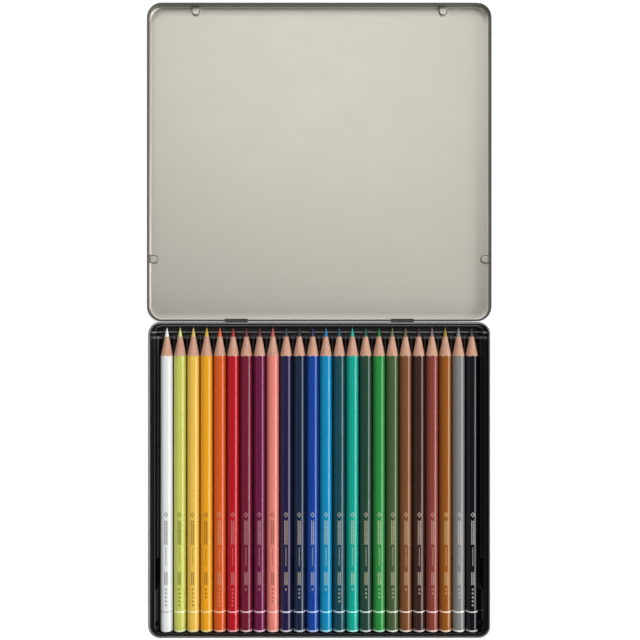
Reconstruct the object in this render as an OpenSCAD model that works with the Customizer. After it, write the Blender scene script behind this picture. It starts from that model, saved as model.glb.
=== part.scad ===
// Flat hinged tin holding one row of colored pencils in a formed tray.
// Millimetres. X runs across the row, +Y points at the hinge, +Z is up.
// The origin is the middle of the tin's underside, and the lid is drawn lying open behind the tin.

/* [Pencils] */
// Number of pencils in the row
pencil_count = 24; // [6:1:24]
// Length of a sharpened pencil
pencil_len = 175; // [120:1:200]
// Width of the casing across two opposite flats
pencil_af = 6.9; // [5.4:0.1:9]
// How far the rounding trims each corner of the casing
corner_cut = 0.42; // [0.05:0.01:0.6]
// Diameter of the colored lead
lead_d = 2.5; // [1.8:0.1:3.8]
// Glue line between the lead and the casing
lead_gap = 0.02; // [0.01:0.01:0.05]
// Full angle of the sharpened cone
point_angle = 23; // [16:0.2:32]
// Width of the blunted tip of the lead
point_d = 0.4; // [0.2:0.1:1]
// Radius of the rounding at the dipped end
end_round = 1.8; // [0.6:0.1:2.4]
// Thickness of the cap that closes the dipped end
end_cap = 0.4; // [0.2:0.1:1]
// Free space between two neighbouring pencils
pencil_gap = 0.52; // [0.3:0.02:2]

/* [Tray] */
// Thickness of the formed plastic
tray_t = 0.45; // [0.3:0.01:0.6]
// Play between a casing's lower flat and each side of its groove's floor
groove_play = 0.17; // [0.1:0.01:0.4]
// Width of the top of a ridge between two grooves
ridge_top = 0.8; // [0.75:0.05:1.4]
// Gap that keeps each pencil clear of the groove's floor
seat_gap = 0.1; // [0.05:0.05:0.3]
// Height of the grooves' floor over the floor of the trough
seat_rise = 1.05; // [1:0.05:3]
// Drop of the ledge under the points, from the pencils' axis
ledge_drop = 1.15; // [1:0.05:1.5]
// Length of the ledge under the points
ledge_len = 3.3; // [2:0.1:6]
// Length of the cross channel between the ledge and the grooves
channel_len = 2; // [1.2:0.1:4]
// Room between the points and the tray's rear wall
point_room = 0.5; // [0.3:0.1:3]
// Room between the dipped ends and the tray's front wall
end_room = 0.2; // [0.1:0.1:3]
// Distance from the dipped ends to the finger trough
trough_from_end = 24.5; // [10:0.5:50]
// Length of the finger trough along the pencils
trough_len = 17.9; // [12:0.1:26]
// Step from the flange down to the side land
land_step = 2.4; // [1:0.1:3]
// Width of the tray's flange at the sides
flange_side = 2.2; // [1.4:0.1:4]
// Width of the tray's flange behind the points
flange_rear = 1.3; // [1:0.1:4]
// Width of the tray's flange at the front
flange_front = 0.8; // [0.6:0.1:4]
// Depth of the flange below the rim of the tin
flange_drop = 2; // [1.6:0.1:4]
// Radius of the tray's inner walls in the corners beside the points
rear_r = 5; // [2:0.5:6]
// Radius of the tray's inner walls in the corners beside the dipped ends, smaller if they need room
front_r = 4; // [2:0.1:4]
// Radius of the round relief beside the dipped ends
relief_r = 1.4; // [1:0.1:2]
// Distance from the dipped ends to the reliefs
relief_from_end = 5.1; // [3:0.1:10]
// Gap between the tray and the tin around it
tray_gap = 0.3; // [0.1:0.05:1]
// Gap under the tray's foot
foot_gap = 0.1; // [0.05:0.05:0.3]

/* [Tin] */
// Thickness of the tinplate
sheet = 0.3; // [0.2:0.02:0.5]
// Height of the tin's base, to the top of its rolled rim
tin_h = 11; // [9.1:0.1:30]
// Outer corner radius of the base's wall
corner_r = 6.2; // [4:0.1:12]
// Radius pressed along the bottom edge of base and lid
edge_r = 1.5; // [0.8:0.1:2]
// Diameter of the rolled rims
bead_d = 1.1; // [0.9:0.05:2]
// Gap between the two rims as they pass
rim_gap = 0.4; // [0.2:0.05:1]

/* [Lid stops] */
// Height of the stop pips pressed into the lid
pip_h = 1.6; // [1:0.1:3]
// Width of a pip along the wall
pip_w = 4.7; // [3:0.1:8]
// Reach of a pip from the wall
pip_l = 5.2; // [3.5:0.1:9]
// Radius of the edge between a pip's top and its side
pip_edge_r = 0.8; // [0.6:0.05:1.2]
// Gap between the pips and the base's rim when the lid is closed
pip_gap = 0.1; // [0.05:0.05:0.5]
// Distance between the two front pips
pip_span = 144; // [60:1:180]
// Distance from the hinge axis to the two side pips
pip_from_hinge = 35.6; // [15:0.1:80]

/* [Hinge] */
// Distance between the two hinge tongues
tongue_span = 95.6; // [40:0.1:160]
// Width of each tongue
tongue_w = 13; // [6:0.5:24]
// Play at each side of a tongue in its slot
slot_play = 0.4; // [0.2:0.05:1]
// Running gap between the tongue's curl and the lid's rim
curl_gap = 0.08; // [0.02:0.01:0.1]
// Inner radius of the bend where a tongue leaves the wall
bend_r = 0.5; // [0.3:0.05:1]

/* [Hidden] */
$fn = 64;
over = 1;                                        // how far a cutting tool runs past what it cuts
slope = 60;                                      // slope of the grooves' sides, as the casing's flats

// Shades in the row, from -X to +X: name, lacquer, lead
SHADES = [
    ["white", "#F1F1EE", "#F4F4F0"],
    ["lime", "#BEC65A", "#CFD27A"],
    ["yellow", "#E6B84A", "#E8C860"],
    ["golden_yellow", "#E09A22", "#D9A83C"],
    ["orange", "#C8501E", "#B8502A"],
    ["red", "#B01020", "#B03030"],
    ["burgundy", "#701638", "#7A3040"],
    ["magenta", "#6C1240", "#7A2450"],
    ["salmon", "#DC8478", "#C85A50"],
    ["violet", "#241E48", "#3A3060"],
    ["navy", "#182844", "#2C3850"],
    ["blue", "#104294", "#2450A0"],
    ["light_blue", "#0284B2", "#2C8CB8"],
    ["petrol", "#144856", "#2C5A66"],
    ["turquoise", "#0A9E8E", "#30A090"],
    ["dark_green", "#24463A", "#3A5A4C"],
    ["green", "#26843E", "#3C8C4C"],
    ["olive", "#4C5A3A", "#5E6A48"],
    ["brown", "#764A28", "#6E5A34"],
    ["dark_brown", "#3A221C", "#4A302C"],
    ["red_brown", "#863E34", "#6E5048"],
    ["ochre", "#8C4E10", "#8A6428"],
    ["grey", "#7A7C78", "#80807E"],
    ["black", "#08121A", "#2A2C2E"],
];
ROW = [for (i = [0:pencil_count - 1]) SHADES[i][0]];

// Pencils
corner_d = pencil_af / cos(30) - 2 * corner_cut;
flat_w = pencil_af * tan(30);
pitch = corner_d + pencil_gap;
last_axis = (pencil_count - 1) * pitch / 2;
taper = tan(point_angle / 2);
bore_d = lead_d + 2 * lead_gap;

// Up the tin
foot_z = sheet + foot_gap;
trough_z = foot_z + tray_t;
seat_z = trough_z + seat_rise;
axis_z = seat_z + seat_gap + pencil_af / 2;
ledge_z = axis_z - ledge_drop;
flange_z = tin_h - flange_drop;
land_z = flange_z - land_step;

// Across the row: grooves, end slopes, side lands, flange, tin
groove_w = flat_w + 2 * groove_play;
ridge_h = (pitch - groove_w - ridge_top) / 2 * tan(slope);
land_x = slope_x(land_z);
well_x = slope_x(flange_z);
tray_w = 2 * (well_x + flange_side);
side_room = well_x - last_axis - corner_d / 2;
front_in_r = min(front_r, side_room + end_room + end_round);
tray_r = corner_r - sheet - tray_gap;
tin_w = tray_w + 2 * (tray_gap + sheet);

// Half width of the grooved bays at a height, on the slopes outside the outer pencils
function slope_x(z) = last_axis + groove_w / 2 + (z - seat_z) / tan(slope);

// Along the pencils, from the front wall to the hinge
tray_d = flange_front + end_room + pencil_len + point_room + flange_rear;
tin_d = tray_d + 2 * (tray_gap + sheet);
well_y0 = -tray_d / 2 + flange_front;
end_y = well_y0 + end_room;
tip_y = end_y + pencil_len;
well_y1 = tip_y + point_room;
trough_y0 = end_y + trough_from_end;
trough_y1 = trough_y0 + trough_len;
channel_y1 = well_y1 - ledge_len;
channel_y0 = channel_y1 - channel_len;
relief_y = end_y + relief_from_end;

// Rims, lid and hinge
bead_out = bead_d - sheet;
rim_step = bead_out + rim_gap + bead_d;
lid_w = tin_w + 2 * rim_step;
lid_d = tin_d + 2 * rim_step;
lid_corner_r = corner_r + rim_step;
closed_h = tin_h + pip_gap + pip_h + sheet;
hinge_z = closed_h / 2;
hinge_y = lid_d / 2 - bead_d / 2;
lid_y = 2 * hinge_y;
curl_r = bead_d / 2 + curl_gap;
slot_reach = curl_r + sheet + rim_gap;
stem_z = hinge_z + curl_r;
bend_y = tin_d / 2 + bend_r;
bend_z = stem_z + sheet + bend_r;
tongue_len = PI / 2 * (bend_r + sheet / 2) + (hinge_y - bend_y) + 3 * PI / 2 * (curl_r + sheet / 2);

// Carries a section round a rectangle with rounded corners. The section's x runs out from the
// corners' centres, and its y is the height.
module around(w, d, r) {
    for (k = [0:3]) {
        out = (k % 2 == 0 ? w : d) / 2 - r;
        along = (k % 2 == 0 ? d : w) / 2 - r;
        rotate([0, 0, 90 * k]) {
            translate([out, 0, 0])
                rotate([90, 0, 0])
                    linear_extrude(2 * along, center = true)
                        children();
            translate([out, along, 0])
                rotate_extrude(angle = 90)
                    children();
        }
    }
}

// Section of a pressed pan, from a corner's centre out to its wall
module pan_section(r, wall_h) {
    square([r - edge_r, sheet]);
    translate([r - edge_r, edge_r])
        intersection() {
            difference() {
                circle(edge_r);
                circle(edge_r - sheet);
            }
            translate([0, -edge_r])
                square(edge_r);
        }
    translate([r - sheet, edge_r])
        square([sheet, wall_h - edge_r]);
}

module pan(w, d, r, wall_h) {
    around(w, d, r)
        pan_section(r, wall_h);
    translate([r - w / 2, r - d / 2, 0])
        cube([w - 2 * r, d - 2 * r, sheet]);
}

// Section of a hinge tongue: down from the wall, out over the lid's rim and round it
module tongue_section() {
    translate([bend_y, bend_z])
        intersection() {
            difference() {
                circle(bend_r + sheet);
                circle(bend_r);
            }
            translate([-bend_r - sheet, -bend_r - sheet])
                square(bend_r + sheet);
        }
    translate([bend_y, stem_z])
        square([hinge_y - bend_y, sheet]);
    translate([hinge_y, hinge_z])
        difference() {
            circle(curl_r + sheet);
            circle(curl_r);
            translate([-curl_r - sheet - over, 0])
                square([curl_r + sheet + over, curl_r + sheet + over]);
        }
}

module tin_base() {
    rim_z = tin_h - bead_d / 2;
    color("#2B2C2E") {
        difference() {
            union() {
                pan(tin_w, tin_d, corner_r, rim_z);
                around(tin_w, tin_d, corner_r)
                    translate([corner_r - sheet + bead_d / 2, rim_z])
                        circle(d = bead_d);
            }
            for (side = [-1, 1])
                translate([side * tongue_span / 2 - tongue_w / 2, tin_d / 2 - sheet - over, bend_z - tongue_len])
                    cube([tongue_w, sheet + 2 * over, tongue_len]);
        }
        for (side = [-1, 1])
            translate([side * tongue_span / 2, 0, 0])
                rotate([90, 0, 90])
                    linear_extrude(tongue_w, center = true)
                        tongue_section();
    }
}

// Cross-section of a stop pip, from z up to its top. It shrinks to the hollow on the pip's back.
module pip_section(shrink, z) {
    half = pip_w / 2 - shrink;
    top = sheet + pip_h - shrink;
    r = pip_edge_r - shrink;
    translate([-half, z])
        square([2 * half, top - r - z]);
    translate([r - half, z])
        square([2 * (half - r), top - z]);
    for (side = [-1, 1])
        translate([side * (half - r), top - r])
            circle(r);
}

// A stop pip, or its hollow. It runs from its root along +X to its round nose.
module pip(shrink, root, z) {
    straight = pip_l - pip_w / 2;
    translate([root, 0, 0])
        rotate([90, 0, 90])
            linear_extrude(straight - root)
                pip_section(shrink, z);
    translate([straight, 0, 0])
        rotate([0, 0, -90])
            rotate_extrude(angle = 180)
                intersection() {
                    pip_section(shrink, z);
                    translate([0, z])
                        square(pip_w + pip_h);
                }
}

// Puts a pip's frame on each wall of the lid that has one
module at_pips() {
    for (side = [-1, 1]) {
        translate([side * pip_span / 2, lid_y + lid_d / 2 - sheet, 0])
            rotate([0, 0, -90])
                children();
        translate([side * (lid_w / 2 - sheet), hinge_y + pip_from_hinge, 0])
            rotate([0, 0, side > 0 ? 180 : 0])
                children();
    }
}

module tin_lid() {
    color("#C9C3B6") {
        difference() {
            union() {
                difference() {
                    translate([0, lid_y, 0])
                        pan(lid_w, lid_d, lid_corner_r, hinge_z);
                    for (side = [-1, 1])
                        translate([
                            side * tongue_span / 2 - tongue_w / 2 - slot_play,
                            hinge_y - bead_d / 2 - over,
                            hinge_z - slot_reach
                        ])
                            cube([tongue_w + 2 * slot_play, over + 2 * sheet, slot_reach + over]);
                }
                translate([0, lid_y, 0])
                    around(lid_w, lid_d, lid_corner_r)
                        translate([lid_corner_r - bead_d / 2, hinge_z])
                            circle(d = bead_d);
                at_pips()
                    pip(0, 0, 0);
            }
            at_pips()
                pip(sheet, edge_r, -over);
        }
    }
}

// Rectangle from y0 to y1 with one radius in its front corners and another in its rear ones
module rounded(w, y0, y1, front, rear) {
    translate([-w / 2, y0 + front])
        square([w, y1 - y0 - front - rear]);
    translate([-w / 2 + front, y0])
        square([w - 2 * front, front]);
    translate([-w / 2 + rear, y1 - rear])
        square([w - 2 * rear, rear]);
    for (side = [-1, 1]) {
        translate([side * (w / 2 - front), y0 + front])
            circle(front);
        translate([side * (w / 2 - rear), y1 - rear])
            circle(rear);
    }
}

// Half of one groove's section, from its floor to the ridge beside it, as [x, z] from the pencil's axis
function half_groove(side, t) = let (
    seat = [side * (groove_w / 2 + t * tan(slope / 2)), seat_z - t],
    crest = [side * (pitch / 2 - ridge_top / 2 + t * tan(slope / 2)), seat_z + ridge_h - t]
) side < 0 ? [crest, seat] : [seat, crest];

// Section of a whole bay between the two end slopes' feet
function grooves(t) = let (
    points = [for (i = [0:pencil_count - 1], side = [-1, 1], p = half_groove(side, t))
        [i * pitch - last_axis + p[0], p[1]]]
) [for (k = [1:len(points) - 2]) points[k]];

// A bay of grooves from y0 to y1. Its end slopes stop at a land below the flange, or run up to it.
module bay(y0, y1, land, t) {
    end_x = well_x + (land ? t : t / sin(slope));
    step = land ? [[land_x + t * tan(slope / 2), land_z - t], [well_x + t, land_z - t]] : [];
    edge = concat(step, [[end_x, flange_z]]);
    translate([0, y1 + t, 0])
        rotate([90, 0, 0])
            linear_extrude(y1 - y0 + 2 * t)
                polygon(concat(
                    [for (k = [len(edge) - 1:-1:0]) [-edge[k][0], edge[k][1]]],
                    grooves(t),
                    edge
                ));
}

// A flat-floored pocket from y0 to y1
module well(y0, y1, floor_z, t) {
    translate([-well_x - t, y0 - t, floor_z - t])
        cube([2 * (well_x + t), y1 - y0 + 2 * t, flange_z - floor_z + t]);
}

// Every pocket of the tray at its inner face, or grown by t to its outer face
module pockets(t) {
    intersection() {
        linear_extrude(flange_z)
            rounded(2 * (well_x + t), well_y0 - t, well_y1 + t, front_in_r + t, rear_r + t);
        union() {
            bay(well_y0, trough_y0, false, t);
            well(trough_y0, trough_y1, trough_z, t);
            bay(trough_y1, channel_y0, true, t);
            well(channel_y0, channel_y1, trough_z, t);
            well(channel_y1, well_y1, ledge_z, t);
            for (side = [-1, 1])
                translate([side * land_x, relief_y, seat_z + ridge_h - t])
                    cylinder(r = relief_r + t, h = land_step + t);
        }
    }
}

module pencil_tray() {
    color("#17181A")
        difference() {
            union() {
                translate([0, 0, flange_z - tray_t])
                    linear_extrude(tray_t)
                        rounded(tray_w, -tray_d / 2, tray_d / 2, tray_r, tray_r);
                pockets(tray_t);
            }
            pockets(0);
        }
}

// Puts a pencil in its groove: drawn along +Z from its point, it then runs along -Y
module in_groove(i) {
    translate([i * pitch - last_axis, tip_y, axis_z])
        rotate([90, 0, 0])
            children();
}

// The cone and the rounded end that a pencil is turned to
module turned_form() {
    env_r = corner_d / 2 + corner_cut;
    rotate_extrude()
        union() {
            polygon([
                [0, 0],
                [point_d / 2, 0],
                [env_r, (env_r - point_d / 2) / taper],
                [env_r, pencil_len - end_round],
                [env_r - end_round, pencil_len],
                [0, pencil_len]
            ]);
            translate([env_r - end_round, pencil_len - end_round])
                circle(end_round);
        }
}

module pencil_casing(i) {
    color(SHADES[i][1])
        in_groove(i)
            difference() {
                intersection() {
                    linear_extrude(pencil_len)
                        intersection() {
                            circle(d = pencil_af / cos(30), $fn = 6);
                            circle(d = corner_d);
                        }
                    turned_form();
                }
                translate([0, 0, -over])
                    cylinder(d = bore_d, h = pencil_len - end_cap + over);
            }
}

module pencil_lead(i) {
    color(SHADES[i][2])
        in_groove(i)
            rotate_extrude()
                polygon([
                    [0, 0],
                    [point_d / 2, 0],
                    [lead_d / 2, (lead_d - point_d) / 2 / taper],
                    [lead_d / 2, pencil_len - end_cap - lead_gap],
                    [0, pencil_len - end_cap - lead_gap]
                ]);
}

tin_base();
tin_lid();
pencil_tray();
for (i = [0:pencil_count - 1]) {
    pencil_casing(i);
    pencil_lead(i);
}
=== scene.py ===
import math
import bmesh
import bpy
import numpy as np
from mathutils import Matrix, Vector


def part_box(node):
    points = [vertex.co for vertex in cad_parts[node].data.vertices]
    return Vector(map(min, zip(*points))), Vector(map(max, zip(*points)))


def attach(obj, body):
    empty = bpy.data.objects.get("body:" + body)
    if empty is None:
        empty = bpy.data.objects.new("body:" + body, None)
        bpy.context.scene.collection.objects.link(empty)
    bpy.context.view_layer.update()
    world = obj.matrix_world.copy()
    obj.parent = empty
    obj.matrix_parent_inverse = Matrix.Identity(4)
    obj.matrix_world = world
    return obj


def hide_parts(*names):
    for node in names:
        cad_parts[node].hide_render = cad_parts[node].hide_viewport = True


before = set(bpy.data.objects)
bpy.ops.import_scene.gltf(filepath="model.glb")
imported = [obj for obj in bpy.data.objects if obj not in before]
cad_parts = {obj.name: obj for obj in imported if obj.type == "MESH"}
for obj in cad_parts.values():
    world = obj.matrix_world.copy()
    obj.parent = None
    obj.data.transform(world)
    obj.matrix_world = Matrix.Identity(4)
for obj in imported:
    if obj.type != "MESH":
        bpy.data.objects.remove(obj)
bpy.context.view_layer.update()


# ---- Base of the tin ----
# A shallow pan pressed from 0.3 mm tinplate, lacquered charcoal outside and left bare inside.
# Its rim is rolled outward, so the roll shows bare metal, and two strips cut from its rear wall
# are curled round the lid's rim as the hinge. Every size in this file is in millimetres.

class Wire:
    """A socket among a material's nodes. An expression on wires adds the nodes that work it out."""

    def __init__(self, tree, socket=None):
        self.tree, self.socket = tree, socket

    def make(self, kind, settings, inputs, output=0):
        """Adds one node, with its settings set before the values or links of its sockets."""
        node = self.tree.nodes.new(kind)
        for key, value in settings.items():
            setattr(node, key, value)
        for key, value in inputs.items():
            if isinstance(value, Wire):
                self.tree.links.new(value.socket, node.inputs[key])
            else:
                node.inputs[key].default_value = value
        return Wire(self.tree, node.outputs[output])

    def maths(self, operation, *terms, clamp=False):
        settings = {"operation": operation, "use_clamp": clamp}
        return self.make("ShaderNodeMath", settings, dict(enumerate(terms)))

    def __add__(self, other):
        return self.maths("ADD", self, other)

    def __sub__(self, other):
        return self.maths("SUBTRACT", self, other)

    def __rsub__(self, other):
        return self.maths("SUBTRACT", other, self)

    def __mul__(self, other):
        return self.maths("MULTIPLY", self, other)

    def __truediv__(self, other):
        return self.maths("DIVIDE", self, other)

    def __abs__(self):
        return self.maths("ABSOLUTE", self)

    __radd__, __rmul__ = __add__, __mul__

    def root(self):
        return self.maths("SQRT", self)

    def off_whole(self):
        """Distance from the nearest whole number."""
        return abs(self - self.maths("ROUND", self))

    def least(self, other):
        return self.maths("MINIMUM", self, other)

    def most(self, other):
        return self.maths("MAXIMUM", self, other)

    def above(self, edge, width):
        """0 below the edge and 1 above it, with a straight ramp of the given width across it."""
        return self.maths("DIVIDE", self - (edge - width / 2), width, clamp=True)

    def within(self, low, high, width):
        """1 between low and high, with ramps of the given width."""
        return self.above(low, width) * (1 - self.above(high, width))

    def mix(self, low, high):
        """Goes from one colour to the other as this mask goes from 0 to 1."""
        return self.make("ShaderNodeMix", {"data_type": "RGBA"}, {0: self, 6: low, 7: high}, 2)

    def times(self, x, y, z):
        """A place with its three parts each multiplied, to stretch or squeeze the patterns worked out from
        it.
        """
        return self.make("ShaderNodeVectorMath", {"operation": "MULTIPLY"}, {0: self, 1: (x, y, z)})

    def split(self):
        return [self.make("ShaderNodeSeparateXYZ", {}, {0: self}, axis) for axis in range(3)]

    def noise(self, scale, detail=2.0):
        """Smooth noise about 0.5; a scale of 1 is one lump to the millimetre on a place in millimetres."""
        return self.make("ShaderNodeTexNoise", {}, {"Vector": self, "Scale": scale, "Detail": detail})

    def bump(self, depth):
        """A normal for this height, where a height of 1 stands the given number of millimetres proud."""
        return self.make("ShaderNodeBump", {}, {"Height": self, "Strength": 1.0, "Distance": depth / 1000})


def finish(name, surface):
    """A material of one Principled shader. surface is given the place on the object, in millimetres,
    and returns the values or wires of the shader's sockets."""
    made = bpy.data.materials.new(name)
    made.use_nodes = True
    tree = made.node_tree
    place = Wire(tree).make("ShaderNodeTexCoord", {}, {}, 3).times(1000, 1000, 1000)
    for key, value in surface(place).items():
        socket = tree.nodes["Principled BSDF"].inputs[key]
        if isinstance(value, Wire):
            tree.links.new(value.socket, socket)
        else:
            socket.default_value = value
    return made


def rounded(a, b, r):
    """Signed distance to two faces that meet in an edge rounded by r, given the distances a and b
    past the lines through the rounding's centre: the length of their positive parts, plus the
    larger where both are negative, less r."""
    out_a, out_b = a.most(0), b.most(0)
    return (out_a * out_a + out_b * out_b).root() + a.most(b).least(0) - r


SHEET, EDGE_R = 0.3, 1.5
SHARP = 0.02                                # width of a crisp line between two finishes


def past_outline(from_x, from_y, width, depth, corner_r):
    """Distance past a pan's outline, a rectangle with rounded corners, for a place given by its two
    distances from the middle."""
    return rounded(from_x - (width / 2 - corner_r), from_y - (depth / 2 - corner_r), corner_r)


def outer_side(plan, z):
    """1 on the outer half of a pan's sheet and 0 on the inner half: plan, the distance past the
    pan's outline, is rounded against the height as the pan's bottom edge."""
    return rounded(plan + EDGE_R, EDGE_R - z, EDGE_R).above(-SHEET / 2, SHARP)


MATT_TIN, CLOUDED_TIN = (0.475, 0.449, 0.400, 1), (0.500, 0.477, 0.427, 1)
# The brighter tin is painted light.
PAINTED_LIGHT_TIN, CHARCOAL = (0.66, 0.63, 0.57, 1), (0.020, 0.021, 0.022, 1)


def tinned(place, lacquered, painted_light, painted_shade, dull):
    """Tinplate, bare or lacquered by the mask: the bare metal is matt, with a fine rolling grain
    along X and faint clouds. Painted light makes it brighter by the second mask, and painted shade
    gives it the dull colour by the third. The lacquer has a satin orange peel."""
    grain = place.times(0.05, 3.0, 1.0).noise(1.0)
    clouds = place.noise(0.04, 3.0)
    peel = place.noise(1.4)
    flat = clouds.above(0.5, 0.6).mix(MATT_TIN, CLOUDED_TIN)
    bare = 1 - lacquered
    bare_roughness = 0.53 + 0.08 * (grain - 0.5) + 0.06 * (clouds - 0.5)
    return {
        # Painted light brightens the bare metal's colour, and painted shade darkens it.
        "Base Color": lacquered.mix(painted_shade.mix(painted_light.mix(flat, PAINTED_LIGHT_TIN), dull), CHARCOAL),
        "Metallic": bare,
        "Roughness": bare * bare_roughness + lacquered * (0.30 + 0.15 * peel),
        "Normal": (bare * grain + 2 * lacquered * peel).bump(0.003),
    }


BASE_W, BASE_D, BASE_CORNER_R, BASE_ROLL_Z = 194.01, 179.0, 6.2, 9.93
# Dull colour of the base's bare walls and roll: painted shade.
BASE_WALL_SHADE = (0.26, 0.26, 0.255, 1)


def base_surface(place):
    """Lacquer on the outer side of the sheet up to the roll, painted light along the foot of the
    walls, and painted shade on the bare walls and roll."""
    x, y, z = place.split()
    plan = past_outline(abs(x), abs(y), BASE_W, BASE_D, BASE_CORNER_R)
    lacquered = outer_side(plan, z) * (1 - z.above(BASE_ROLL_Z, SHARP))
    # Painted light: the bare floor is brighter along the foot of the walls.
    painted_light_by_wall = plan.above(-2.4, 1.6)
    # Painted shade: bare metal above 1.9 mm, on the walls and the roll, is darker.
    wall = z.above(1.9, 0.8)
    return tinned(place, lacquered, painted_light_by_wall, wall, BASE_WALL_SHADE)


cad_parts["tin_base"].material_slots[0].material = finish("base_tinplate_painted_light_and_shade", base_surface)


# ---- Lid of the tin ----
# The same tinplate pressed as a slightly larger pan, lying open on its back. Its rim is rolled
# inward, so the roll shows the lacquer, and four pips pressed up from outside hold it off the
# base's rim when it is closed.

def span(node, axis):
    """Lowest and highest place of a node along an axis, in millimetres."""
    low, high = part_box(node)
    return 1000 * low[axis], 1000 * high[axis]


LID_X0, LID_X1 = span("tin_lid", 0)
LID_Y0, LID_Y1 = span("tin_lid", 1)
LID_Y, LID_W, LID_D = (LID_Y0 + LID_Y1) / 2, LID_X1 - LID_X0, LID_Y1 - LID_Y0
LID_CORNER_R, LID_ROLL_Z = 8.5, 5.93
PIP_REACH, PIP_HALF, PIP_Z, PIP_FAR_X, PIP_SIDE_Y = 5.2, 2.35, 1.75, 72.0, 126.85
# Dull colour of the lid's bare walls and roll: painted shade.
LID_WALL_SHADE = (0.30, 0.29, 0.27, 1)


def lid_surface(place):
    """Lacquer on the outer side of the sheet, in the hollow backs of the pips, which are slots with
    a round nose, and over the roll, where it is mixed a quarter of the way back to bare metal.
    Painted light brightens the metal along the foot of the walls, and more widely by the hinge and
    across from it; painted shade darkens the walls above 1.9 mm, the roll and the whole far wall."""
    x, y, z = place.split()
    from_x, from_y = abs(x), abs(y - LID_Y)
    far_nose = LID_Y1 - SHEET - PIP_REACH + PIP_HALF
    side_nose = LID_W / 2 - SHEET - PIP_REACH + PIP_HALF
    far_pip = rounded(abs(from_x - PIP_FAR_X), far_nose - y, 0)
    side_pip = rounded(abs(y - PIP_SIDE_Y), side_nose - from_x, 0)
    past_pips = far_pip.least(side_pip).above(PIP_HALF - SHEET / 2, SHARP)
    pip_back = (1 - past_pips) * (1 - z.above(PIP_Z, SHARP))
    plan = past_outline(from_x, from_y, LID_W, LID_D, LID_CORNER_R)
    roll = z.above(LID_ROLL_Z, SHARP)
    lacquered = outer_side(plan, z).most(pip_back).most(roll) * (1 - 0.25 * roll)
    # Painted light: the floor is brighter along the foot of the walls and towards both ends.
    painted_light_by_wall = plan.above(-2.4, 1.6).most((from_y - LID_D / 2).above(-3.7, 2.6))
    # Painted shade: the walls above 1.9 mm and the roll are darker, and so is the whole far wall.
    wall = plan.above(-1.2, 0.4) * z.above(1.9, 0.8)
    painted_shade_far_wall = (y - LID_Y1).above(-1.2, 0.5)
    return tinned(place, lacquered, painted_light_by_wall, wall.most(painted_shade_far_wall), LID_WALL_SHADE)


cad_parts["tin_lid"].material_slots[0].material = finish("lid_tinplate_painted_light_and_shade", lid_surface)


# ---- Tray ----
# A tray formed from thin black plastic sheet, glossy on top, with 24 grooves for the pencils, a
# trough to get a finger under them and a ledge under their points. It lies loose in the base.

PENCILS = 24
LAST_AXIS = sum(span("black_pencil_casing", 0)) / 2
AXES = np.linspace(-LAST_AXIS, LAST_AXIS, PENCILS)
PITCH = AXES[1] - AXES[0]

# The sheet and its outline, then the floors' heights and the places of the walls between them
TRAY_SHEET, TRAY_R = 0.45, 5.6
TRAY_HALF_X, TRAY_HALF_Y, FLANGE_Z = (span("pencil_tray", axis)[1] for axis in range(3))
SEAT_Z, RIDGE_Z, TROUGH_Z, LEDGE_Z, LAND_Z = 1.9, 4.085, 0.85, 4.30, 6.6
GROOVE_HALF, LAND_X, WELL_X = 2.162, 92.82, 94.206
WELL_Y0, TROUGH_Y0, TROUGH_Y1, CHANNEL_Y0, CHANNEL_Y1, WELL_Y1 = -88.1, -63.4, -45.5, 82.3, 84.3, 87.6
FRONT_R, REAR_R, RELIEF_Y, RELIEF_R = 4.0, 5.0, -82.8, 1.4
LIP_R, FOOT_R, RUN_OUT, FLANGE_FALL = 0.3, 0.2, 0.08, 0.16

# Kinds of floor that a row of the tray's grid can lie on
FRONT_BAY, REAR_BAY, TROUGH, LEDGE = range(4)


def soft_most(a, b, blend):
    """The larger of two heights, eased where they are nearer than blend to each other."""
    return np.maximum(a, b) + np.maximum(blend - abs(a - b), 0) ** 2 / (4 * blend)


def bay_height(x, y, top):
    """Height of a bay: from the nearest groove's floor a slope of 60 degrees climbs to the ridges,
    and beyond the outer grooves to top. Beside the dipped ends a round relief is sunk in it."""
    from_axis = np.where(abs(x) > LAST_AXIS, abs(x) - LAST_AXIS, abs((x / PITCH) % 1 - 0.5) * PITCH)
    slope = soft_most(SEAT_Z + (from_axis - GROOVE_HALF) * math.sqrt(3), SEAT_Z, 0.3)
    cap = np.where(abs(x) > LAST_AXIS, top, RIDGE_Z)
    in_relief = np.hypot(abs(x) - LAND_X, y - RELIEF_Y) < RELIEF_R
    return np.where(in_relief, RIDGE_Z, -soft_most(-slope, -cap, 0.5))


def step(edge, high, low, climbs):
    """Rows over a step at Y = edge between two floors: a lip that falls along a quarter circle, a
    sheer wall and a foot that runs out along another, each with a row a little way on to keep the
    floor flat. climbs says whether it rises with Y."""
    fall = np.linspace(0, math.pi / 2, 5)
    away = 1 if climbs else -1
    brink = (edge + away * (LIP_R + RUN_OUT), high, 0)
    lip = [(edge + away * LIP_R * (1 - math.sin(a)), high, -LIP_R * (1 - math.cos(a))) for a in fall]
    foot = [(edge - away * FOOT_R * (1 - math.cos(a)), low, FOOT_R * (1 - math.sin(a))) for a in fall]
    run_out = (edge - away * (FOOT_R + RUN_OUT), low, 0)
    rows = [brink, *lip, *foot, run_out]
    return rows[::-1] if climbs else rows


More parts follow.
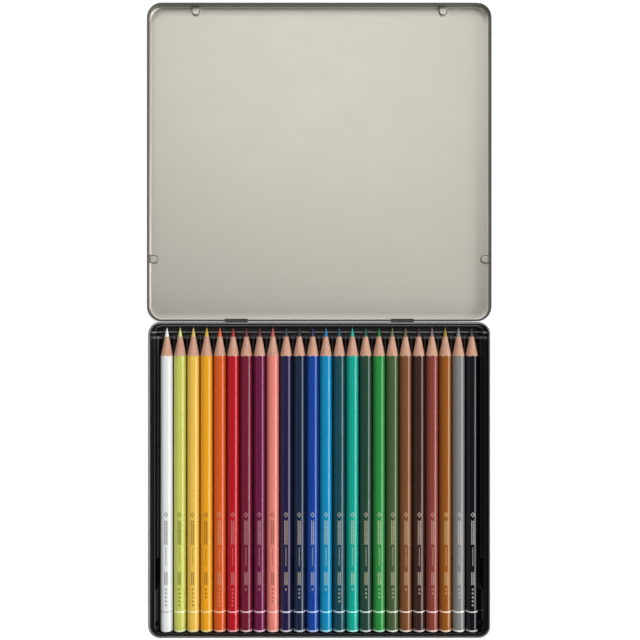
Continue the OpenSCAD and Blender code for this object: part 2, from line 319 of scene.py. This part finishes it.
def tray_grid():
    """Places on the tray's floor for a grid whose lines crowd where it bends. Past the centres of
    the well's rounded corners a square of the grid is pulled in to a quarter disc: u and v become
    u times the root of (1 - v squared / 2), and v times the root of (1 - u squared / 2)."""
    slope_foot, crest = np.array([2.0, GROOVE_HALF, 2.33]), np.array([3.2, 3.36, 3.5, 3.66])
    bends = np.concatenate([slope_foot, crest])
    grooves = (AXES[:, None] + np.concatenate([-bends[::-1], bends])).ravel()
    inner = grooves[len(bends):-len(bends)]
    outer = LAST_AXIS + np.concatenate([slope_foot, [2.6, 2.95]])
    side = np.concatenate([outer, np.linspace(91.3, WELL_X, 16)])
    across = np.concatenate([-side[::-1], inner, side])
    front_y = WELL_Y0 + np.array([0, 0.15, 0.5, 1.0, 1.7, 2.5, 3.2])
    relief_y = np.arange(RELIEF_Y - RELIEF_R - 0.2, RELIEF_Y + RELIEF_R + 0.3, 0.2)
    ledge_y = WELL_Y1 - np.array([2.2, 1.5, 0.9, 0.5, 0.15, 0])
    mid_bay_y = 20.0
    rows = [(y, FRONT_BAY, 0) for y in (*front_y, *relief_y)]
    rows += step(TROUGH_Y0, FRONT_BAY, TROUGH, False) + step(TROUGH_Y1, REAR_BAY, TROUGH, True)
    rows += [(mid_bay_y, REAR_BAY, 0)]
    rows += step(CHANNEL_Y0, REAR_BAY, TROUGH, False) + step(CHANNEL_Y1, LEDGE, TROUGH, True)
    rows += [(y, LEDGE, 0) for y in ledge_y]
    y, kind, shift = (np.array(part) for part in zip(*rows))
    x, y = np.meshgrid(across, y)
    corner_r = np.where(y < 0, FRONT_R, REAR_R)
    centre_x = WELL_X - corner_r
    centre_y = np.where(y < 0, WELL_Y0 + FRONT_R, WELL_Y1 - REAR_R)
    u, v = (abs(x) - centre_x) / corner_r, abs(y - centre_y) / corner_r
    turned = (u > 0) & (np.where(y < 0, centre_y - y, y - centre_y) > 0)
    u, v = np.where(turned, u, 0), np.where(turned, v, 0)
    x = np.where(turned, np.sign(x) * (centre_x + corner_r * u * np.sqrt(1 - v ** 2 / 2)), x)
    y = np.where(turned, centre_y + np.sign(y) * corner_r * v * np.sqrt(1 - u ** 2 / 2), y)
    return x, y, kind[:, None] + 0 * x, shift[:, None] + 0 * x


def tray_height(x, y, kind, shift):
    """Height of the tray's floor, by the kind of floor that a row of the grid belongs to."""
    bay = np.where(kind == FRONT_BAY, bay_height(x, y, FLANGE_Z), bay_height(x, 0 * y, LAND_Z))
    floor = np.where(kind == TROUGH, TROUGH_Z, LEDGE_Z)
    return np.where(kind < TROUGH, np.maximum(bay + shift, TROUGH_Z), floor + shift)


def tray_skin():
    """The floor's grid and, round its edge, loops that go up the well's wall, over a quarter circle
    and out along the flange to its rounded outline. The flange falls as the square of the way out."""
    x, y, kind, shift = tray_grid()
    rows, columns = x.shape
    here = np.arange(rows * columns).reshape(rows, columns)
    loop = np.concatenate([here[0, :-1], here[:-1, -1], here[-1, :0:-1], here[:0:-1, 0]])
    loop_x, loop_y, loop_kind, loop_shift = (part.ravel()[loop] for part in (x, y, kind, shift))
    core_x, core_y = TRAY_HALF_X - TRAY_R, TRAY_HALF_Y - TRAY_R
    well_r = np.where(loop_y < 0, FRONT_R, REAR_R)
    past_x = np.maximum(abs(loop_x) - (WELL_X - well_r), 0) * np.sign(loop_x)
    past_front, past_rear = WELL_Y0 + FRONT_R - loop_y, loop_y - WELL_Y1 + REAR_R
    past_y = np.maximum(np.where(loop_y < 0, past_front, past_rear), 0) * np.sign(loop_y)
    away = np.hypot(past_x, past_y)
    out_x = np.clip(loop_x, -core_x, core_x) + TRAY_R * past_x / away
    out_y = np.clip(loop_y, -core_y, core_y) + TRAY_R * past_y / away
    width = np.hypot(out_x - loop_x, out_y - loop_y)
    places = [np.stack([x, y, tray_height(x, y, kind, shift)], axis=2).reshape(-1, 3)]
    turn = np.linspace(0, math.pi / 2, 6)
    flat = width - LIP_R
    rings = list(zip(LIP_R * (1 - np.cos(turn)), LIP_R * (1 - np.sin(turn))))
    rings += [(LIP_R + way * flat, FLANGE_FALL * flat * way ** 2) for way in (0.25, 0.5, 0.75, 1)]
    for out, drop in rings:
        at_x = loop_x + (out_x - loop_x) * out / width
        at_y = loop_y + (out_y - loop_y) * out / width
        height = np.maximum(FLANGE_Z - drop, tray_height(at_x, at_y, loop_kind, loop_shift))
        places.append(np.stack([at_x, at_y, np.minimum(height, FLANGE_Z)], axis=1))
    faces = [np.stack([here[:-1, :-1], here[:-1, 1:], here[1:, 1:], here[1:, :-1]], axis=2).reshape(-1, 4)]
    inner = loop
    for ring in range(len(places) - 1):
        outer = rows * columns + ring * len(loop) + np.arange(len(loop))
        faces.append(np.stack([inner, outer, np.roll(outer, -1), np.roll(inner, -1)], axis=1))
        inner = outer
    mesh = bpy.data.meshes.new("tray")
    mesh.from_pydata((np.vstack(places) / 1000).tolist(), [], np.vstack(faces).tolist())
    skin = bpy.data.objects.new("tray", mesh)
    bpy.context.collection.objects.link(skin)
    return skin


# Grey of the dust, and of the painted highlights along the lips.
BLACK_PLASTIC, DUST_AND_HIGHLIGHT_GREY = (0.004, 0.004, 0.0045, 1), (0.25, 0.25, 0.25, 1)


def tray_surface(place):
    """Glossy plastic with a slight orange peel, hazed here and there and lightly dusted, with painted
    highlights in grey along the two lips beneath the pencils' points. The ridges' crests are worn matt."""
    peel = place.noise(0.8)
    haze = place.noise(0.05, 3.0)
    dust = place.noise(2.2, 1.0).above(0.78, 0.06)
    _, y, z = place.split()
    # Painted highlights: grey lines along the bays' rear lip and the ledge's front lip, where light catches
    # them.
    bay_lip, ledge_lip = y.within(80.6, 82.0, 0.2), y.within(83.9, 84.7, 0.2)
    painted_highlight = (0.4 * bay_lip).most(ledge_lip)
    worn = z.within(3.2, 4.25, 0.3) * (1 - y.above(82.6, 0.2))
    dust_and_highlight = (dust * 0.12).most(painted_highlight * (0.5 + haze))
    return {
        "Base Color": dust_and_highlight.mix(BLACK_PLASTIC, DUST_AND_HIGHLIGHT_GREY),
        "Roughness": 0.12 + 0.14 * haze + 0.4 * worn,
        "Normal": peel.bump(0.01),
    }


tray = tray_skin()
merged = bmesh.new()
merged.from_mesh(tray.data)
bmesh.ops.remove_doubles(merged, verts=merged.verts, dist=1e-6)
merged.to_mesh(tray.data)
merged.free()
tray.data.polygons.foreach_set("use_smooth", np.ones(len(tray.data.polygons), bool))
tray.data.set_sharp_from_angle(angle=math.radians(40))
tray.data.materials.append(finish("tray_gloss_painted_highlights", tray_surface))
wall = tray.modifiers.new("sheet", "SOLIDIFY")
wall.thickness, wall.offset = TRAY_SHEET / 1000, -1
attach(tray, "tray")
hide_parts("pencil_tray")


# ---- Casings of the pencils ----
# Each casing is two grooved slats of cedar glued round the lead, planed to a hexagon, dipped in
# lacquer and sharpened, so the lacquer ends in scallops where the cone runs out through the flats.

LOW_FLAT, HIGH_FLAT = span("white_pencil_casing", 2)
AXIS_Z, FLAT_R, CORNER_R = (LOW_FLAT + HIGH_FLAT) / 2, (HIGH_FLAT - LOW_FLAT) / 2, 2.71
END_Y, TIP_Y = span("white_pencil_casing", 1)[0], span("white_pencil_lead", 1)[1]
TAPER = math.tan(math.radians(11.5))
POINT_R, BORE_R, END_R, END_FLAT_R = 0.2, 1.27, 1.8, 2.18
SHADES = [
    # name, lacquer, lead, foil, number of dots
    ("white", (0.83, 0.84, 0.86), (0.92, 0.92, 0.91), (0.20, 0.18, 0.15), 5),
    ("lime", (0.58, 0.62, 0.12), (0.80, 0.76, 0.28), (0.16, 0.15, 0.030), 5),
    ("yellow", (0.86, 0.53, 0.084), (0.70, 0.52, 0.13), (0.26, 0.17, 0.040), 5),
    ("golden_yellow", (0.86, 0.38, 0.011), (0.74, 0.45, 0.045), (0.26, 0.10, 0.012), 3),
    ("orange", (0.66, 0.10, 0.013), (0.72, 0.13, 0.040), (0.70, 0.34, 0.16), 5),
    ("red", (0.50, 0.005, 0.015), (0.40, 0.026, 0.018), (0.66, 0.22, 0.20), 5),
    ("burgundy", (0.18, 0.008, 0.032), (0.12, 0.015, 0.014), (0.56, 0.26, 0.24), 1),
    ("magenta", (0.15, 0.006, 0.052), (0.11, 0.016, 0.025), (0.56, 0.26, 0.30), 1),
    ("salmon", (0.82, 0.23, 0.19), (0.51, 0.098, 0.080), (0.28, 0.080, 0.050), 4),
    ("violet", (0.015, 0.011, 0.060), (0.040, 0.036, 0.070), (0.56, 0.44, 0.34), 1),
    ("navy", (0.007, 0.018, 0.055), (0.015, 0.018, 0.027), (0.50, 0.46, 0.36), 3),
    ("blue", (0.004, 0.056, 0.33), (0.020, 0.020, 0.10), (0.44, 0.50, 0.56), 1),
    ("light_blue", (0.001, 0.26, 0.48), (0.008, 0.17, 0.41), (0.44, 0.60, 0.62), 1),
    ("petrol", (0.005, 0.064, 0.089), (0.004, 0.080, 0.12), (0.44, 0.50, 0.40), 4),
    ("turquoise", (0.002, 0.38, 0.29), (0.015, 0.36, 0.31), (0.44, 0.62, 0.48), 1),
    ("dark_green", (0.016, 0.060, 0.036), (0.009, 0.083, 0.045), (0.50, 0.48, 0.32), 3),
    ("green", (0.019, 0.26, 0.047), (0.009, 0.16, 0.038), (0.48, 0.58, 0.34), 3),
    ("olive", (0.064, 0.11, 0.038), (0.12, 0.19, 0.063), (0.54, 0.50, 0.28), 3),
    ("brown", (0.20, 0.071, 0.021), (0.15, 0.10, 0.028), (0.58, 0.40, 0.22), 1),
    ("dark_brown", (0.041, 0.015, 0.012), (0.068, 0.027, 0.027), (0.54, 0.42, 0.30), 2),
    ("red_brown", (0.25, 0.048, 0.036), (0.21, 0.15, 0.14), (0.58, 0.32, 0.24), 2),
    ("ochre", (0.30, 0.088, 0.007), (0.36, 0.21, 0.022), (0.62, 0.42, 0.16), 2),
    ("grey", (0.21, 0.21, 0.20), (0.24, 0.24, 0.26), (0.56, 0.54, 0.50), 3),
    ("black", (0.002, 0.003, 0.006), (0.045, 0.045, 0.050), (0.50, 0.48, 0.42), 5),
]


def hexagon(corner_steps, flat_steps):
    """Angles and radii once round a hexagon with its flats up and down. A flat's radius is its
    distance over the cosine of the angle from its middle. A corner's is that of a circle that
    touches both flats: its centre's distance times the cosine of the angle to it, plus the root of
    the circle's radius squared less that distance times the sine squared."""
    touch = math.atan((FLAT_R - CORNER_R) * math.tan(math.pi / 6) / FLAT_R)
    flat = np.linspace(-touch, touch, flat_steps, endpoint=False)
    corner = np.linspace(touch, math.pi / 3 - touch, corner_steps, endpoint=False)
    turn = np.concatenate([flat, corner])
    to_corner = turn - math.pi / 6
    centre = (FLAT_R - CORNER_R) / math.cos(math.pi / 6)
    bend = np.maximum(CORNER_R ** 2 - (centre * np.sin(to_corner)) ** 2, 0)
    radius = np.where(turn < touch, FLAT_R / np.cos(turn), centre * np.cos(to_corner) + np.sqrt(bend))
    sides = math.pi / 2 + np.arange(6)[:, None] * math.pi / 3
    return (turn + sides).ravel(), np.tile(radius, 6)


def turned_skin(name, turn, radii, along, axis_x, finishes, finish_of_row):
    """A closed skin round a pencil's axis. radii and along hold, for every ring and every angle, the
    distance from the axis and the place along Y; the first and last rings are closed to their
    middles. Every row of faces between two rings has the finish whose number is given for it."""
    rings, steps = radii.shape
    grid = np.stack([radii * np.cos(turn) + axis_x, along + 0 * turn, radii * np.sin(turn) + AXIS_Z], axis=2)
    ends = [[axis_x, along[row].mean(), AXIS_Z] for row in (0, -1)]
    points = np.vstack([grid.reshape(-1, 3), ends]) / 1000
    here = np.arange(rings * steps).reshape(rings, steps)
    beside = np.roll(here, -1, axis=1)
    quads = np.stack([here[:-1], beside[:-1], beside[1:], here[1:]], axis=2).reshape(-1, 4)
    first = np.stack([np.full(steps, rings * steps), beside[0], here[0]], axis=1)
    last = np.stack([np.full(steps, rings * steps + 1), here[-1], beside[-1]], axis=1)
    mesh = bpy.data.meshes.new(name)
    mesh.from_pydata(points.tolist(), [], quads.tolist() + first.tolist() + last.tolist())
    for made in finishes:
        mesh.materials.append(made)
    finish_of_face = np.repeat([*finish_of_row, finish_of_row[0], finish_of_row[-1]], steps)
    mesh.polygons.foreach_set("material_index", finish_of_face)
    mesh.polygons.foreach_set("use_smooth", np.ones(len(mesh.polygons), bool))
    mesh.set_sharp_from_angle(angle=math.radians(50))
    skin = bpy.data.objects.new(name, mesh)
    bpy.context.collection.objects.link(skin)
    return skin


def casing_rings():
    """Rings of a casing, from the bottom of its bore out to the point, back along the cone, down the
    barrel and round the dipped end. On the cone a ring lies at even shares of the way to where the
    cone meets the hexagon, which is the hexagon's radius over the taper, so one ring follows the
    scallops. At the end the hexagon runs into an arc turned round the axis, from where the arc's
    radius, END_FLAT_R + END_R times the cosine of its angle, is the hexagon's."""
    turn, hexed = hexagon(corner_steps=9, flat_steps=3)
    mouth = TIP_Y - (BORE_R - POINT_R) / TAPER
    scallop = TIP_Y - (hexed - POINT_R) / TAPER
    bore = [(BORE_R + 0 * turn, y + 0 * turn) for y in (END_Y + 0.4, 0.0, mouth - 1)]
    cone = [
        (BORE_R + share * (hexed - BORE_R), mouth + share * (scallop - mouth))
        for share in np.linspace(0, 1, 9)
    ]
    meet = np.arccos((hexed - END_FLAT_R) / END_R)
    bends = [meet + share * (math.pi / 2 - meet) for share in np.linspace(0.04, 1, 8)]
    end = [(END_FLAT_R + END_R * np.cos(a), END_Y + END_R * (1 - np.sin(a))) for a in bends]
    brink = END_Y + END_R * (1 - np.sin(meet)) + 0.12
    crowding_at_both_ends = (0.0008, 0.003, 0.05, 0.5, 0.96, 0.998, 1)
    barrel = [(hexed, scallop + share * (brink - scallop)) for share in crowding_at_both_ends]
    rows = bore + cone + barrel + end
    radii, along = (np.array(part) for part in zip(*rows))
    finish_of_row = [0] * (len(bore) + len(cone) - 1) + [1] * (len(barrel) + len(end))
    return turn, radii, along, finish_of_row


STREAK, PALE_CEDAR, RED_CEDAR = (0.55, 0.28, 0.185, 1), (0.73, 0.44, 0.315, 1), (0.45, 0.20, 0.12, 1)


def cedar_surface(place):
    """Cedar cut across the grain by a sharpener: thin darker streaks run down the cone, and here
    and there the wood is redder."""
    fibre = place.times(5.0, 0.35, 5.0).noise(1.0, 3.0)
    warm = place.times(0.6, 0.08, 0.6).noise(1.0, 1.0)
    streaked = fibre.above(0.5, 0.4).mix(STREAK, PALE_CEDAR)
    return {
        "Base Color": (warm.above(0.6, 0.3) * 0.4).mix(streaked, RED_CEDAR),
        "Roughness": 0.62 + 0.15 * (fibre - 0.5),
        "Normal": fibre.bump(0.03),
    }


RING, END_BAND = (-76.4, -75.6), (-87.5, -86.45)
DIAMOND_Y, LONG_LADDER, DASHES, SHORT_LADDER = -20.2, (-37.4, -23.4), (-49.5, -39.0), (-60.6, -53.0)
RUNG_PITCH, FIRST_DOT_Y, DOT_PITCH, DOT_HALF = 1.15, -63.0, 2.27, 0.48
STAMP_Z = AXIS_Z + 2.9                      # the stamp is on the upper flat, above this height
LINE = 0.06                                 # softness of a stamped line
DULL_RING = (0.55, 0.53, 0.48)


def lacquer_surface(place, axis_x, lacquer, foil, dots):
    """Lacquer over the hexagon, with a ring and an end band of thin white, through which the colour
    shows as the root of its strength, but a dull ring on white. Along the upper flat a foil stamp
    has a hollow diamond, a ladder of fine rungs between two rules, a broken line, a short ladder
    and a row of dots."""
    x, y, z = place.split()
    across = abs(x - axis_x)
    veiled = tuple(min(0.54 - 0.4 * max(lacquer) + 0.9 * math.sqrt(part), 0.95) for part in lacquer)
    ring_color = DULL_RING if min(lacquer) > 0.8 else veiled
    wear = place.noise(0.9)
    body = (0.25 * wear.above(0.5, 0.6)).mix((*lacquer, 1), (*(0.85 * part for part in lacquer), 1))
    banded = y.within(*END_BAND, 0.1).mix(body, (*veiled, 1))
    ringed = y.within(*RING, 0.08).mix(banded, (*ring_color, 1))
    diamond = (across + 0.8 * abs(y - DIAMOND_Y)).within(0.7, 1.25, 0.08)
    from_rung = (y / RUNG_PITCH).off_whole()
    rungs = (1 - from_rung.above(0.2, 0.08)) * (1 - across.above(0.86, LINE))
    ladder = across.within(0.5, 0.86, LINE).most(rungs)
    ladders = ladder * y.within(*LONG_LADDER, 0.1).most(y.within(*SHORT_LADDER, 0.1))
    dash = (1 - across.above(0.3, LINE)) * (1 - from_rung.above(0.28, 0.08))
    from_dot = across.most(((y - FIRST_DOT_Y) / DOT_PITCH).off_whole() * DOT_PITCH)
    dots_y0, dots_y1 = FIRST_DOT_Y + 1.1 - DOT_PITCH * dots, FIRST_DOT_Y + 1.1
    dot_row = (1 - from_dot.above(DOT_HALF, 0.08)) * y.within(dots_y0, dots_y1, 0.02)
    marks = diamond.most(ladders).most(dash * y.within(*DASHES, 0.1)).most(dot_row)
    grit = place.noise(6.0, 1.0).above(0.36, 0.1)
    stamp = marks * z.above(STAMP_Z, 0.05) * (0.7 + 0.3 * grit)
    return {
        "Base Color": (stamp * 0.9).mix(ringed, (*foil, 1)),
        "Metallic": stamp * 0.3,
        "Roughness": 0.21 + 0.1 * (wear - 0.5) + 0.15 * stamp,
        "Normal": place.times(1.0, 0.12, 1.0).noise(0.8).bump(0.02),
    }


turn, radii, along, finish_of_row = casing_rings()
cedar = finish("cedar", cedar_surface)
for axis_x, (shade, lacquer, _, foil, dots) in zip(AXES, SHADES):
    coat = finish(shade + "_lacquer", lambda place: lacquer_surface(place, axis_x, lacquer, foil, dots))
    casing = turned_skin(shade + "_casing", turn, radii, along, axis_x, [cedar, coat], finish_of_row)
    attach(casing, shade + "_pencil")
    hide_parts(shade + "_pencil_casing")


# ---- Leads of the pencils ----
# A rod of pigment bound with clay and wax, glued along the whole casing. Sharpening leaves it on
# the same cone, with its very tip blunted round.

LEAD_R, TIP_R = 1.25, 0.24


def lead_rings():
    """Rings of a lead, from its blunt tip, an arc that runs into the cone, to its hidden end."""
    turn = np.linspace(0, 2 * math.pi, 28, endpoint=False)
    arc = np.linspace(0.25, 1, 5) * (math.pi / 2 - math.atan(TAPER))
    tip = [(TIP_R * math.sin(a), TIP_Y - TIP_R * (1 - math.cos(a))) for a in arc]
    tip_r, tip_y = tip[-1]
    shoulder = TIP_Y - (LEAD_R - POINT_R) / TAPER
    cone = [
        (tip_r + share * (LEAD_R - tip_r), tip_y + share * (shoulder - tip_y))
        for share in (0.15, 0.4, 0.7, 1)
    ]
    rod = [(LEAD_R, y) for y in (shoulder - 0.2, 0.0, END_Y + 0.45)]
    rows = np.array(tip + cone + rod)
    return turn, rows[:, :1] + 0 * turn, rows[:, 1:] + 0 * turn, [0] * (len(rows) - 1)


def pigment_surface(place, color):
    """Waxy pigment with fine pale scores left by the sharpener's blade."""
    score = place.times(3.0, 0.5, 3.0).noise(1.5, 2.0)
    pale = tuple(0.8 * part + 0.03 for part in color)
    return {
        "Base Color": (0.4 * score.above(0.56, 0.2)).mix((*color, 1), (*pale, 1)),
        "Roughness": 0.48 + 0.2 * (score - 0.5),
        "Normal": score.bump(0.03),
    }


turn, radii, along, finish_of_row = lead_rings()
for axis_x, (shade, _, color, _, _) in zip(AXES, SHADES):
    pigment = finish(shade + "_pigment", lambda place: pigment_surface(place, color))
    lead = turned_skin(shade + "_lead", turn, radii, along, axis_x, [pigment], finish_of_row)
    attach(lead, shade + "_pencil")
    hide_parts(shade + "_pencil_lead")


# ---- Studio ----
# The tin lies on a white table under a camera that looks straight down. Two softboxes low on the
# right draw a line of light down each pencil, a broad one behind the lid lights the tinplate, and
# two weaker ones fill in from the front and the left.

MIDDLE_OF_TIN = np.array((0, 0.09, 0))


def soft_box(name, place, width, height, radiance):
    """A rectangular lamp, in metres, that faces the middle of the open tin. Its face shines equally
    all over, and its power is the radiance times pi times its area."""
    light = bpy.data.lights.new(name, "AREA")
    light.shape, light.size, light.size_y = "RECTANGLE", width, height
    light.energy = radiance * math.pi * width * height
    lamp = bpy.data.objects.new(name, light)
    bpy.context.collection.objects.link(lamp)
    lamp.location, lamp.visible_camera = place, False
    x, y, z = MIDDLE_OF_TIN - np.array(place)
    tilt, heading = math.acos(-z / math.hypot(x, y, z)), math.atan2(y, x) - math.pi / 2
    lamp.rotation_euler = (tilt, 0, heading)


soft_box("right_softbox", (0.72, -0.16, 0.54), 0.66, 0.30, 7.0)
soft_box("low_right_softbox", (0.87, -0.16, 0.235), 0.66, 0.40, 3.2)
soft_box("rear_softbox", (-0.02, 0.68, 1.30), 1.2, 0.95, 3.05)
soft_box("front_softbox", (0, -1.25, 0.75), 1.4, 0.8, 1.9)
soft_box("left_softbox", (-1.0, 0.09, 0.75), 1.6, 0.8, 0.35)

TABLE_HALF, TABLE_Z = 4, -0.00005           # a hair under the tin, so that the two faces don't fight
table = bpy.data.meshes.new("table")
corners = [(x * TABLE_HALF, y * TABLE_HALF, TABLE_Z) for x, y in ((-1, -1), (1, -1), (1, 1), (-1, 1))]
table.from_pydata(corners, [], [(0, 1, 2, 3)])
table_top = bpy.data.objects.new("table", table)
bpy.context.collection.objects.link(table_top)


def table_surface(place):
    """White board. Rays from the camera, or mirrored or passed on, also see it glow: a little by
    the tin, and white where it is too far off for the lamps."""
    camera, glossy, passed = (
        place.make("ShaderNodeLightPath", {}, {}, output)
        for output in ("Is Camera Ray", "Is Glossy Ray", "Is Transmission Ray")
    )
    x, y, _ = place.split()
    far = (x * x + y * y).root().above(1300, 1600)
    glow = far.mix((0.6, 0.6, 0.6, 1), (1, 1, 1, 1))
    return {
        "Base Color": place.noise(0.2).mix((0.87, 0.87, 0.87, 1), (0.89, 0.89, 0.89, 1)),
        "Roughness": 0.9,
        "Emission Color": camera.most(glossy).most(passed).mix((0, 0, 0, 1), glow),
        "Emission Strength": 1.0,
    }


table.materials.append(finish("table_top", table_surface))

world = bpy.data.worlds.new("studio")
world.use_nodes = True
bpy.context.scene.world = world
seen = Wire(world.node_tree).make("ShaderNodeLightPath", {}, {}, "Is Camera Ray")
sky = seen.mix((0.08, 0.08, 0.08, 1), (1, 1, 1, 1))
world.node_tree.links.new(sky.socket, world.node_tree.nodes["Background"].inputs["Color"])

PICTURE_PX, FOCAL_PX = 640, 822             # width of the picture and focal length, in its pixels
camera = bpy.data.cameras.new("overhead")
camera.lens = FOCAL_PX / PICTURE_PX * camera.sensor_width
overhead = bpy.data.objects.new("overhead", camera)
bpy.context.collection.objects.link(overhead)
overhead.location = (0.0004, 0.09145, 0.480)
bpy.context.scene.camera = overhead
bpy.context.scene.view_settings.view_transform = "Standard"
